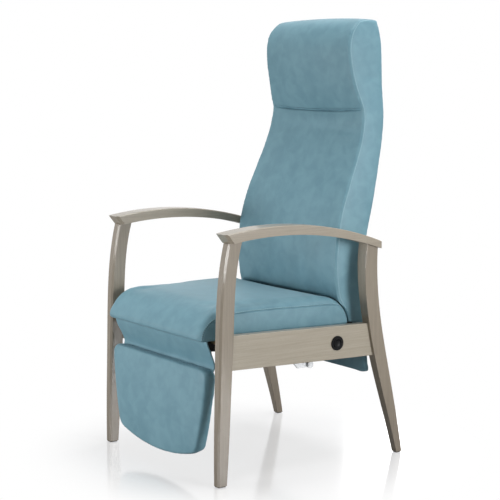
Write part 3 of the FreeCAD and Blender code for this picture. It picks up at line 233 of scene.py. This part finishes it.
def moulded(name, shade, roughness, grit):
    """Moulded plastic or rubber with a fine spark-eroded texture."""
    finish = Finish(name, specular_ior_level=0.12)
    grain = finish.noise(grit, 2)
    rubbed = finish.noise(60, 2).step(0.5, 0.75)
    lighter = tuple(level * 1.5 + 0.004 for level in shade[:3]) + (1,)
    finish.set(base_color=finish.mix(rubbed * 0.4, shade, lighter), roughness=roughness - rubbed * 0.06)
    finish.relief(grain, 0.00006, 0.5)
    return finish.material


def thread(name):
    """Twisted polyester sewing thread, lighter than the leather; part of that lightness is a painted
    highlight along the seams.
    """
    finish = Finish(name, sheen_weight=0.2)
    twist = finish.noise(900, 1)
    # Thread colour partly real, partly a painted highlight along the seams.
    finish.set(base_color=finish.mix(twist, colour(146, 180, 191), colour(172, 202, 211)),
               roughness=0.6 + twist * 0.1)
    return finish.material


UPRIGHT, LENGTHWAYS, CROSSWAYS = (1, 1, 60), (1, 60, 1), (60, 1, 1)
leather = synthetic_leather("blue_grey_leather")
stitch_thread = thread("sewing_thread")
FINISHES = {
    "beech_frame": stained_beech("beech_lengthways", LENGTHWAYS,
                                 colour(139, 130, 115), colour(157, 147, 131)),
    "plywood": birch_ply("birch_plywood"),
    "upholstery": leather,
    "steel_black": metal("black_powder_coat", (0.011, 0.011, 0.012, 1), (0.02, 0.02, 0.022, 1),
                         roughness=0.5, metallic=0.0, lines=(300, 300, 300)),
    "steel_zinc": metal("zinc_plate", (0.42, 0.43, 0.44, 1), (0.62, 0.63, 0.64, 1),
                        roughness=0.34, metallic=1.0, lines=(40, 600, 600)),
    "rod_chrome": metal("chromed_rod", (0.62, 0.63, 0.65, 1), (0.76, 0.77, 0.79, 1),
                        roughness=0.12, metallic=1.0, lines=(900, 20, 900)),
    "plastic_black": moulded("black_plastic", (0.003, 0.003, 0.0035, 1), roughness=0.38, grit=1500),
    "glide_plastic": moulded("glide_plastic", (0.045, 0.04, 0.036, 1), roughness=0.5, grit=900),
    "cable_jacket": moulded("cable_jacket", (0.012, 0.012, 0.013, 1), roughness=0.45, grit=1200),
}
# Copies of one stain in other tones: the legs' copy is darker and the side rails' copy lighter than the
# armrests', as painted shade and painted light; each copy's grain direction is real.
shaded_upright_beech = stained_beech("beech_upright_painted_shade", UPRIGHT,
                              colour(122, 112, 96), colour(139, 128, 112), gloss=0.9)
lit_rail_beech = stained_beech("beech_rails_painted_light", LENGTHWAYS,
                           colour(147, 139, 123), colour(165, 156, 140))
crossways_beech = stained_beech("beech_crossways", CROSSWAYS,
                                colour(125, 115, 100), colour(145, 135, 119))


def finish_of(node, slot):
    if node.startswith(("front_leg", "rear_leg")):
        return shaded_upright_beech
    if node.startswith("side_rail"):
        return lit_rail_beech
    if node == "front_cross_rail":
        return crossways_beech
    return FINISHES[slot]


for subpart in frame["record"]["subparts"]:
    solid = nodes[subpart["node"]]
    finish = finish_of(subpart["node"], subpart["material_slot"])
    if not solid.material_slots:
        solid.data.materials.append(finish)
    for slot in solid.material_slots:
        slot.material = finish


# Points of a piece as an array, and lines of points
def points_of(piece):
    flat = np.empty(len(piece.data.vertices) * 3)
    piece.data.vertices.foreach_get("co", flat)
    return flat.reshape(-1, 3)


def put_points(piece, points):
    piece.data.vertices.foreach_set("co", points.ravel())
    piece.data.update()


def normals_of(piece):
    flat = np.empty(len(piece.data.vertices) * 3)
    piece.data.vertex_normals.foreach_get("vector", flat)
    return flat.reshape(-1, 3)


def evened(line, step):
    """The same line with its points a fixed step apart."""
    line = np.asarray(line, float)
    run = np.concatenate([[0], np.cumsum(np.linalg.norm(np.diff(line, axis=0), axis=1))])
    marks = np.linspace(0, run[-1], max(2, round(run[-1] / step) + 1))
    return np.column_stack([np.interp(marks, run, line[:, axis]) for axis in range(3)])


def eased(line, rounds, closed=False):
    """The same line with its small wobbles averaged out."""
    line = np.array(line)
    for _ in range(rounds):
        before, after = np.roll(line, 1, axis=0), np.roll(line, -1, axis=0)
        middle = (before + 2 * line + after) / 4
        if not closed:
            middle[0], middle[-1] = line[0], line[-1]
        line = middle
    return line


def beside(line, gap):
    """The same line moved sideways in the plane of a side panel, to the outer side of its curve."""
    run = np.gradient(line, axis=0)
    across = np.column_stack([np.zeros(len(run)), run[:, 2], -run[:, 1]])
    return line + across / np.linalg.norm(across, axis=1, keepdims=True) * gap


def corner_line(points, axis, levels, outward):
    """The line along a corner of a form: at each level, the point that lies furthest outward."""
    spacing = abs(levels[1] - levels[0])
    found = []
    for level in levels:
        near = points[np.abs(points[:, axis] - level) < spacing]
        if len(near):
            found.append(near[np.argmax(near @ np.asarray(outward, float))])
    return found


def distance_to(points, lines):
    """How far each point lies from the nearest of some lines."""
    marks = np.vstack([evened(line, 1.5 * MM) for line in lines])
    tree = KDTree(len(marks))
    for index, mark in enumerate(marks):
        tree.insert(mark, index)
    tree.balance()
    return np.array([tree.find(point)[2] for point in points])


def smooth_step(values, low, high):
    share = np.clip((values - low) / (high - low), 0, 1)
    return share * share * (3 - 2 * share)


# Padded pieces: the faces of a skin, the cloth simulation, the steps in which a cover is held,
# the spacing of the points found along a corner, and the stitches, measured from their middle
VOXEL = 5 * MM
PRESSURE = 4
CLOTH_FRAMES = 20
HOLD_STEPS = 10
LEVEL_STEP = 0.008
STITCH_PITCH = 6 * MM
STITCH_SIZE = (2.4 * MM, 0.7 * MM, 0.6 * MM)


def use(piece):
    """Makes a piece the only selected one."""
    bpy.ops.object.select_all(action="DESELECT")
    piece.select_set(True)
    bpy.context.view_layer.objects.active = piece


def modify(piece, kind, **settings):
    """Adds a modifier, and applies it."""
    use(piece)
    modifier = piece.modifiers.new(kind, kind)
    for setting, choice in settings.items():
        setattr(modifier, setting, choice)
    bpy.ops.object.modifier_apply(modifier=modifier.name)


def skin(name, members, rounds):
    """One closed skin over some soft solids, with its edges rounded."""
    merged = bmesh.new()
    for member in members:
        merged.from_mesh(nodes[member].data)
    bmesh.ops.remove_doubles(merged, verts=merged.verts, dist=0.01 * MM)
    mesh = bpy.data.meshes.new(name)
    merged.to_mesh(mesh)
    merged.free()
    piece = bpy.data.objects.new(name, mesh)
    scene.collection.objects.link(piece)
    modify(piece, "REMESH", mode="VOXEL", voxel_size=VOXEL)
    modify(piece, "SMOOTH", factor=0.5, iterations=rounds)
    return piece


def conform(piece, members, share):
    """Draws a skin back onto the solids it covers, where share is 1, so that its corners stay crisp."""
    merged = bmesh.new()
    for member in members:
        merged.from_mesh(nodes[member].data)
    surface = BVHTree.FromBMesh(merged)
    merged.free()
    points = points_of(piece)
    for index in np.nonzero(share > 0.01)[0]:
        place = surface.find_nearest(Vector(points[index]))[0]
        points[index] += (np.array(place) - points[index]) * share[index]
    put_points(piece, points)


def swell(piece, held, most):
    """Fills a closed skin like a sewn cover. held is 1 where it can't move, and no point
    moves further than most."""
    use(piece)
    group = piece.vertex_groups.new(name="held")
    for level in range(1, HOLD_STEPS + 1):
        members = np.nonzero(np.round(held * HOLD_STEPS) == level)[0]
        group.add(members.tolist(), level / HOLD_STEPS, "REPLACE")
    before = points_of(piece)
    cover = piece.modifiers.new("Cloth", "CLOTH")
    cover.settings.vertex_group_mass = group.name
    cover.settings.use_pressure = True
    cover.settings.uniform_pressure_force = PRESSURE
    cover.settings.effector_weights.gravity = 0
    cover.settings.bending_stiffness = 2
    cover.point_cache.frame_start = 1
    cover.point_cache.frame_end = CLOTH_FRAMES
    for number in range(1, CLOTH_FRAMES + 1):
        scene.frame_set(number)
    bpy.ops.object.modifier_apply(modifier=cover.name)
    scene.frame_set(1)
    moved = points_of(piece) - before
    length = np.linalg.norm(moved, axis=1, keepdims=True)
    print(piece.name, "swelled by up to", round(float(length.max() / MM), 1), "mm")
    put_points(piece, before + moved * np.minimum(1, most / np.maximum(length, 1e-9)))
    modify(piece, "SMOOTH", factor=0.5, iterations=12, vertex_group="held", invert_vertex_group=True)
    piece.vertex_groups.clear()


def refine(piece, lines, band):
    """Divides the faces beside some lines."""
    mesh = bmesh.new()
    mesh.from_mesh(piece.data)
    near = distance_to(points_of(piece), lines) < band
    mesh.verts.ensure_lookup_table()
    edges = [edge for edge in mesh.edges if near[edge.verts[0].index] and near[edge.verts[1].index]]
    bmesh.ops.subdivide_edges(mesh, edges=edges, cuts=1, use_grid_fill=True)
    mesh.to_mesh(piece.data)
    mesh.free()


def laid_on(piece, line, away):
    """A line moved onto a piece, as seen from the direction away."""
    surface = BVHTree.FromObject(piece, bpy.context.evaluated_depsgraph_get())
    start = Vector(away) * 0.5
    hits = [surface.ray_cast(Vector(point) + start, -Vector(away))[0] for point in line]
    return np.array([tuple(hit) for hit in hits if hit])


def press(piece, lines, depth, width, share=1):
    """Presses a groove into a piece along some lines."""
    points = points_of(piece)
    share = share * np.exp(-(distance_to(points, lines) / width) ** 2)
    put_points(piece, points - normals_of(piece) * (share * depth)[:, None])


def dress(piece, material):
    """One material all over, shaded smooth."""
    piece.data.materials.clear()
    piece.data.materials.append(material)
    piece.data.polygons.foreach_set("use_smooth", [True] * len(piece.data.polygons))


def stitch_row(name, piece, lines, body):
    """Separate stitches laid on a piece along some lines."""
    bpy.ops.object.select_all(action="DESELECT")
    bpy.ops.mesh.primitive_uv_sphere_add(segments=6, ring_count=5, radius=1)
    model = bpy.context.object
    template = model.data
    surface = BVHTree.FromObject(piece, bpy.context.evaluated_depsgraph_get())
    rows = bmesh.new()
    for line in lines:
        marks = evened(line, STITCH_PITCH)
        for start, end in zip(marks, marks[1:]):
            place, normal, _, _ = surface.find_nearest(Vector((start + end) / 2))
            forward = Vector(end - start)
            side = normal.cross(forward).normalized()
            forward = side.cross(normal)
            spot = Matrix.Translation(place + normal * 0.15 * MM)
            turn = Matrix((forward, side, normal)).transposed().to_4x4()
            size = Matrix.Diagonal(STITCH_SIZE + (1,))
            count = len(rows.verts)
            rows.from_mesh(template)
            rows.verts.ensure_lookup_table()
            bmesh.ops.transform(rows, matrix=spot @ turn @ size, verts=rows.verts[count:])
    mesh = bpy.data.meshes.new(name)
    rows.to_mesh(mesh)
    rows.free()
    bpy.data.objects.remove(model)
    stitches = bpy.data.objects.new(name, mesh)
    scene.collection.objects.link(stitches)
    dress(stitches, stitch_thread)
    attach(stitches, body)


# Back: front panel with a crease under the headrest, side panels and rear panel
BACK_SOLIDS = ["back_shell", "back_cushion", "headrest_cushion"]
back = skin("back_upholstery", BACK_SOLIDS, 3)
form = points_of(back)
CREASE_HEIGHT, CREASE_LIFT = 0.9795, 0.005


def back_seams(points, side):
    """The front and rear seams of a side panel."""
    sided = points[points[:, 0] * side > 0]
    rise = corner_line(sided, 2, np.arange(0.412, 1.214, LEVEL_STEP), (side, -1, 0))
    over = corner_line(sided, 1, np.arange(0.236, 0.29, LEVEL_STEP), (side, 0, 1))
    fall = corner_line(sided, 2, np.arange(1.218, 0.25, -LEVEL_STEP), (side, 1, 0))
    return eased(evened(rise + over, 4 * MM), 30), eased(evened(fall, 4 * MM), 30)


front_seams, rear_seams = zip(*[back_seams(form, side) for side in (1, -1)])
top_seam = eased(corner_line(form, 0, np.arange(-0.176, 0.18, LEVEL_STEP), (0, 1, 1)), 10)
crest = form[np.abs(form[:, 2] - CREASE_HEIGHT) < 5 * MM]
crease = eased(corner_line(crest, 0, np.arange(-0.208, 0.212, LEVEL_STEP), (0, -1, 0)), 10)
crease[:, 2] = CREASE_HEIGHT + CREASE_LIFT * (crease[:, 0] / 0.2) ** 2

seams = list(front_seams) + list(rear_seams) + [top_seam]
hem = (1 - smooth_step(form[:, 2], 0.25, 0.28)) * (1 - smooth_step(np.abs(form[:, 0]), 0.19, 0.22))
conform(back, BACK_SOLIDS, np.maximum(hem, 1 - smooth_step(distance_to(form, seams), 7 * MM, 16 * MM)))
form = points_of(back)
away = distance_to(form, seams + [crease])
inner = normals_of(back)
level = 1 - smooth_step(inner[:, 2], 0.4, 0.8)
form = form - inner * (5 * MM * smooth_step(away, 0, 60 * MM) * level)[:, None]
# the lower edge curves up at its ends
curl = smooth_step(np.abs(form[:, 0]), 0.205, 0.237) * (1 - smooth_step(form[:, 2], 0.23, 0.27))
form[:, 2] += 6 * MM * curl
# the top of the headrest is crowned
form[:, 2] += (2 - 4 * (form[:, 0] / 0.19) ** 2) * MM * smooth_step(form[:, 2], 1.19, 1.235)
put_points(back, form)
press(back, [crease], 3 * MM, 8 * MM)
rearward = smooth_step(inner[:, 1], 0.5, 0.8)
low = 1 - smooth_step(form[:, 2], 0.46, 0.52)
held = np.maximum.reduce([1 - smooth_step(away, 3 * MM, 10 * MM), rearward, low])
swell(back, held, 7 * MM)
modify(back, "SUBSURF", levels=1, render_levels=1)
crease = laid_on(back, crease, (0, -1, 0))
refine(back, seams + [crease], 8 * MM)
refine(back, [crease], 5 * MM)
fading = 1 - smooth_step(np.abs(points_of(back)[:, 0]), 0.15, 0.215) * 0.75
press(back, [crease], 8 * MM, 2.6 * MM, fading)
press(back, seams, 1.3 * MM, 2 * MM)
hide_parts("back_shell", "back_cushion", "headrest_cushion")
dress(back, leather)
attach(back, "back")
stitch_row("back_stitching", back, [line + np.array((0, 6 * MM, 0)) for line in front_seams], "back")

# Seat: the top panel wraps over the nose and the sides down to a seam
seat = skin("seat_upholstery", ["seat_cushion"], 3)
SIDE_SEAM = [(0.177, 0.389), (0.17, 0.41), (0.157, 0.43), (0.134, 0.4415), (0.104, 0.4445),
             (0.01, 0.447), (-0.09, 0.4505), (-0.16, 0.4515), (-0.213, 0.4505), (-0.262, 0.445),
             (-0.29, 0.435), (-0.306, 0.42), (-0.315, 0.402), (-0.318, 0.388)]
form = points_of(seat)
nose_edge = 1 - smooth_step(np.abs(form[:, 2] - 0.386), 4 * MM, 14 * MM)
conform(seat, ["seat_cushion"], nose_edge * (1 - smooth_step(form[:, 1], -0.315, -0.3)))
form = points_of(seat)
seam_route = eased(evened([(0, y, z) for y, z in SIDE_SEAM], 5 * MM), 6)
side_seams = [laid_on(seat, seam_route, (side, 0, 0)) for side in (1, -1)]
away = distance_to(form, side_seams)
inner = normals_of(seat)
drawn_in = smooth_step(away, 0, 50 * MM) * smooth_step(form[:, 2], 0.386, 0.44)
form = form - inner * (3 * MM * drawn_in)[:, None]
put_points(seat, form)
under = 1 - smooth_step(form[:, 2], 0.386, 0.396)
behind = smooth_step(form[:, 1], 0.12, 0.15)
held = np.maximum.reduce([1 - smooth_step(away, 3 * MM, 9 * MM), under, behind])
swell(seat, held, 5 * MM)
modify(seat, "SUBSURF", levels=1, render_levels=1)
refine(seat, side_seams, 10 * MM)
refine(seat, side_seams, 6 * MM)
press(seat, side_seams, 2.2 * MM, 1.5 * MM)
side_lips = [beside(line, 3.2 * MM) for line in side_seams]
press(seat, side_lips, -1.3 * MM, 1.8 * MM)
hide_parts("seat_cushion")
dress(seat, leather)
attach(seat, "frame")
stitch_row("seat_stitching", seat, side_lips, "frame")

# Legrest: padded board with a front panel, tapered sides and a curved lower edge
legrest = skin("legrest_upholstery", ["legrest_cushion", "legrest_board"], 4)
form = points_of(legrest)
MIDDLE_HEIGHT = 0.19


def rim(points, depth_sign):
    """The edge all round the front or the rear of the legrest."""
    angle = np.arctan2(points[:, 2] - MIDDLE_HEIGHT, points[:, 0])
    radial = np.hypot(points[:, 0], points[:, 2] - MIDDLE_HEIGHT)
    found = []
    for level in np.arange(-math.pi, math.pi, 0.03):
        turned = np.abs((angle - level + math.pi) % (2 * math.pi) - math.pi) < 0.03
        reach = radial[turned] + depth_sign * points[turned, 1]
        found.append(points[turned][np.argmax(reach)])
    return evened(np.vstack([eased(found, 12, closed=True), found[:1]]), 4 * MM)


rims = [rim(form, -1), rim(form, 1)]
away = distance_to(form, rims)
inner = normals_of(legrest)
form = form - inner * (4 * MM * smooth_step(away, 0, 50 * MM))[:, None]
put_points(legrest, form)
rearward = smooth_step(inner[:, 1], 0.5, 0.8)
held = np.maximum(1 - smooth_step(away, 3 * MM, 9 * MM), rearward)
swell(legrest, held, 7 * MM)
modify(legrest, "SUBSURF", levels=1, render_levels=1)
refine(legrest, rims, 8 * MM)
press(legrest, rims[1:], 1.2 * MM, 2 * MM)
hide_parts("legrest_cushion", "legrest_board")
dress(legrest, leather)
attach(legrest, "legrest")

# Link: thin padded panel from the front seam of the seat down to the top of the legrest
LINK_PROFILE = [(-0.304, 0.391), (-0.3045, 0.3815), (-0.3025, 0.373), (-0.299, 0.364), (-0.2935, 0.352),
                (-0.2875, 0.34), (-0.283, 0.33), (-0.2795, 0.3215), (-0.2778, 0.314), (-0.2785, 0.307),
                (-0.281, 0.3005), (-0.285, 0.295)]


def link_panel():
    bpy.ops.object.select_all(action="DESELECT")
    rows, columns = 24, 72
    bpy.ops.mesh.primitive_grid_add(x_subdivisions=columns, y_subdivisions=rows, size=1)
    piece = bpy.context.object
    piece.name = "link_panel"
    profile = evened([(0, y, z) for y, z in LINK_PROFILE], 1 * MM)
    run = np.linspace(0, 1, len(profile))
    points = points_of(piece)
    across, down = points[:, 0] * 2, 0.5 - points[:, 1]
    half_width = np.interp(down, (0, 0.3, 1), (0.2395, 0.2425, 0.2345))
    hung = [np.interp(down, run, profile[:, axis]) for axis in (1, 2)]
    put_points(piece, np.column_stack([across * half_width] + hung))
    modify(piece, "SOLIDIFY", thickness=4.5 * MM, offset=-1)
    modify(piece, "BEVEL", width=1.8 * MM, segments=3, limit_method="ANGLE")
    return piece


link = link_panel()
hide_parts("legrest_flap")
dress(link, leather)
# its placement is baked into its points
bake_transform(link)


# Release button with a dished face: the width of each ring as a share of the radius, and its depth
DISH = [(0.14, 0), (0.14, -2 * MM), (0.28, -1.1 * MM)]


def dished_button():
    solid = nodes["release_button"]
    corners = points_of(solid)
    low, high = corners.min(axis=0), corners.max(axis=0)
    middle, radius = (low + high) / 2, (high[2] - low[2]) / 2
    bpy.ops.object.select_all(action="DESELECT")
    bpy.ops.mesh.primitive_cylinder_add(vertices=72, radius=radius, depth=high[0] - low[0],
                                        location=middle, rotation=(0, math.pi / 2, 0))
    piece = bpy.context.object
    piece.name = "button_cap"
    bpy.ops.object.transform_apply()
    bpy.ops.object.mode_set(mode="EDIT")
    bpy.ops.mesh.select_mode(type="FACE")
    bpy.ops.mesh.select_all(action="DESELECT")
    bpy.ops.object.mode_set(mode="OBJECT")
    face = max(piece.data.polygons, key=lambda face: face.center.x if len(face.vertices) > 4 else -1)
    face.select = True
    bpy.ops.object.mode_set(mode="EDIT")
    for share, sink in DISH:
        bpy.ops.mesh.inset(thickness=share * radius, depth=sink)
    bpy.ops.object.mode_set(mode="OBJECT")
    modify(piece, "BEVEL", width=0.5 * MM, segments=3, limit_method="ANGLE")
    dress(piece, FINISHES["plastic_black"])
    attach(piece, "button")
    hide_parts("release_button")


dished_button()


# Floor, light and background
FLOOR_LIFT = 0.475
WORLD_LIGHT = 0.11


def studio_floor():
    """Glossy floor: it keeps shadows and reflections near the chair and is plain white further off."""
    bpy.ops.object.select_all(action="DESELECT")
    bpy.ops.mesh.primitive_plane_add(size=60)
    floor = bpy.context.object
    floor.name = "studio_floor"
    finish = Finish("studio_floor", specular_ior_level=0.5)
    wear = finish.noise(3, 2)
    finish.set(base_color=colour(145, 145, 146), roughness=0.1 + wear * 0.03)
    seen = finish.node("ShaderNodeLightPath", {}, {}, "Is Camera Ray")
    distance = finish.node("ShaderNodeVectorMath", {"operation": "LENGTH"}, {0: finish.place}, "Value")
    far = distance.step(0.36, 0.68)
    white = finish.node("ShaderNodeEmission", {}, {"Color": (1, 1, 1, 1), "Strength": 1.0})
    lift = finish.node("ShaderNodeEmission", {}, {"Color": (1, 1, 1, 1), "Strength": seen * FLOOR_LIFT})
    near = finish.node("ShaderNodeAddShader", {}, {0: Value(finish, finish.shader.outputs[0]), 1: lift})
    shown = finish.node("ShaderNodeMixShader", {}, {0: seen * far, 1: near, 2: white})
    output = finish.tree.nodes["Material Output"]
    finish.tree.links.new(shown.socket, output.inputs["Surface"])
    floor.data.materials.append(finish.material)


def studio_world():
    """White to the camera and in reflections; a weaker, even light on the chair."""
    world = bpy.data.worlds.new("studio")
    scene.world = world
    world.use_nodes = True
    tree = world.node_tree
    tree.nodes.clear()
    rays = tree.nodes.new("ShaderNodeLightPath")
    shown = tree.nodes.new("ShaderNodeMath")
    shown.operation = "MAXIMUM"
    tree.links.new(rays.outputs["Is Camera Ray"], shown.inputs[0])
    tree.links.new(rays.outputs["Is Glossy Ray"], shown.inputs[1])
    light = tree.nodes.new("ShaderNodeBackground")
    light.inputs["Color"].default_value = (0.97, 0.985, 1, 1)
    light.inputs["Strength"].default_value = WORLD_LIGHT
    white = tree.nodes.new("ShaderNodeBackground")
    white.inputs["Color"].default_value = (1, 1, 1, 1)
    mixed = tree.nodes.new("ShaderNodeMixShader")
    output = tree.nodes.new("ShaderNodeOutputWorld")
    tree.links.new(shown.outputs[0], mixed.inputs[0])
    tree.links.new(light.outputs[0], mixed.inputs[1])
    tree.links.new(white.outputs[0], mixed.inputs[2])
    tree.links.new(mixed.outputs[0], output.inputs["Surface"])


def soft_box(name, place, aim, size, power):
    """A lamp of that width and height."""
    lamp = bpy.data.lights.new(name, "AREA")
    lamp.shape = "ELLIPSE"
    lamp.size, lamp.size_y = size
    lamp.energy = power
    lamp_object = bpy.data.objects.new(name, lamp)
    lamp_object.location = place
    lamp_object.rotation_euler = (Vector(aim) - Vector(place)).to_track_quat("-Z", "Y").to_euler()
    scene.collection.objects.link(lamp_object)


studio_floor()
studio_world()
soft_box("light_from_the_right", (3.55, 1.25, 1.0), (0, 0, 0.5), (1.5, 1.5), 90)
soft_box("light_from_above", (0.2, 0.7, 3.6), (0, 0, 0.5), (2.4, 2.4), 92)
soft_box("light_from_the_front", (-1.3, -3.6, 0.6), (0, 0, 0.35), (2.2, 1.1), 77)
soft_box("light_beside_the_camera", (2.3, -3.3, 1.3), (0, 0, 0.6), (0.3, 1.3), 18)
soft_box("light_left_of_the_camera", (1.61, -3.6, 1.3), (0, 0, 0.6), (0.2, 1.3), 11)
soft_box("light_from_behind", (-2.2, 3.4, 1.2), (0, 0, 0.6), (2.0, 1.6), 60)
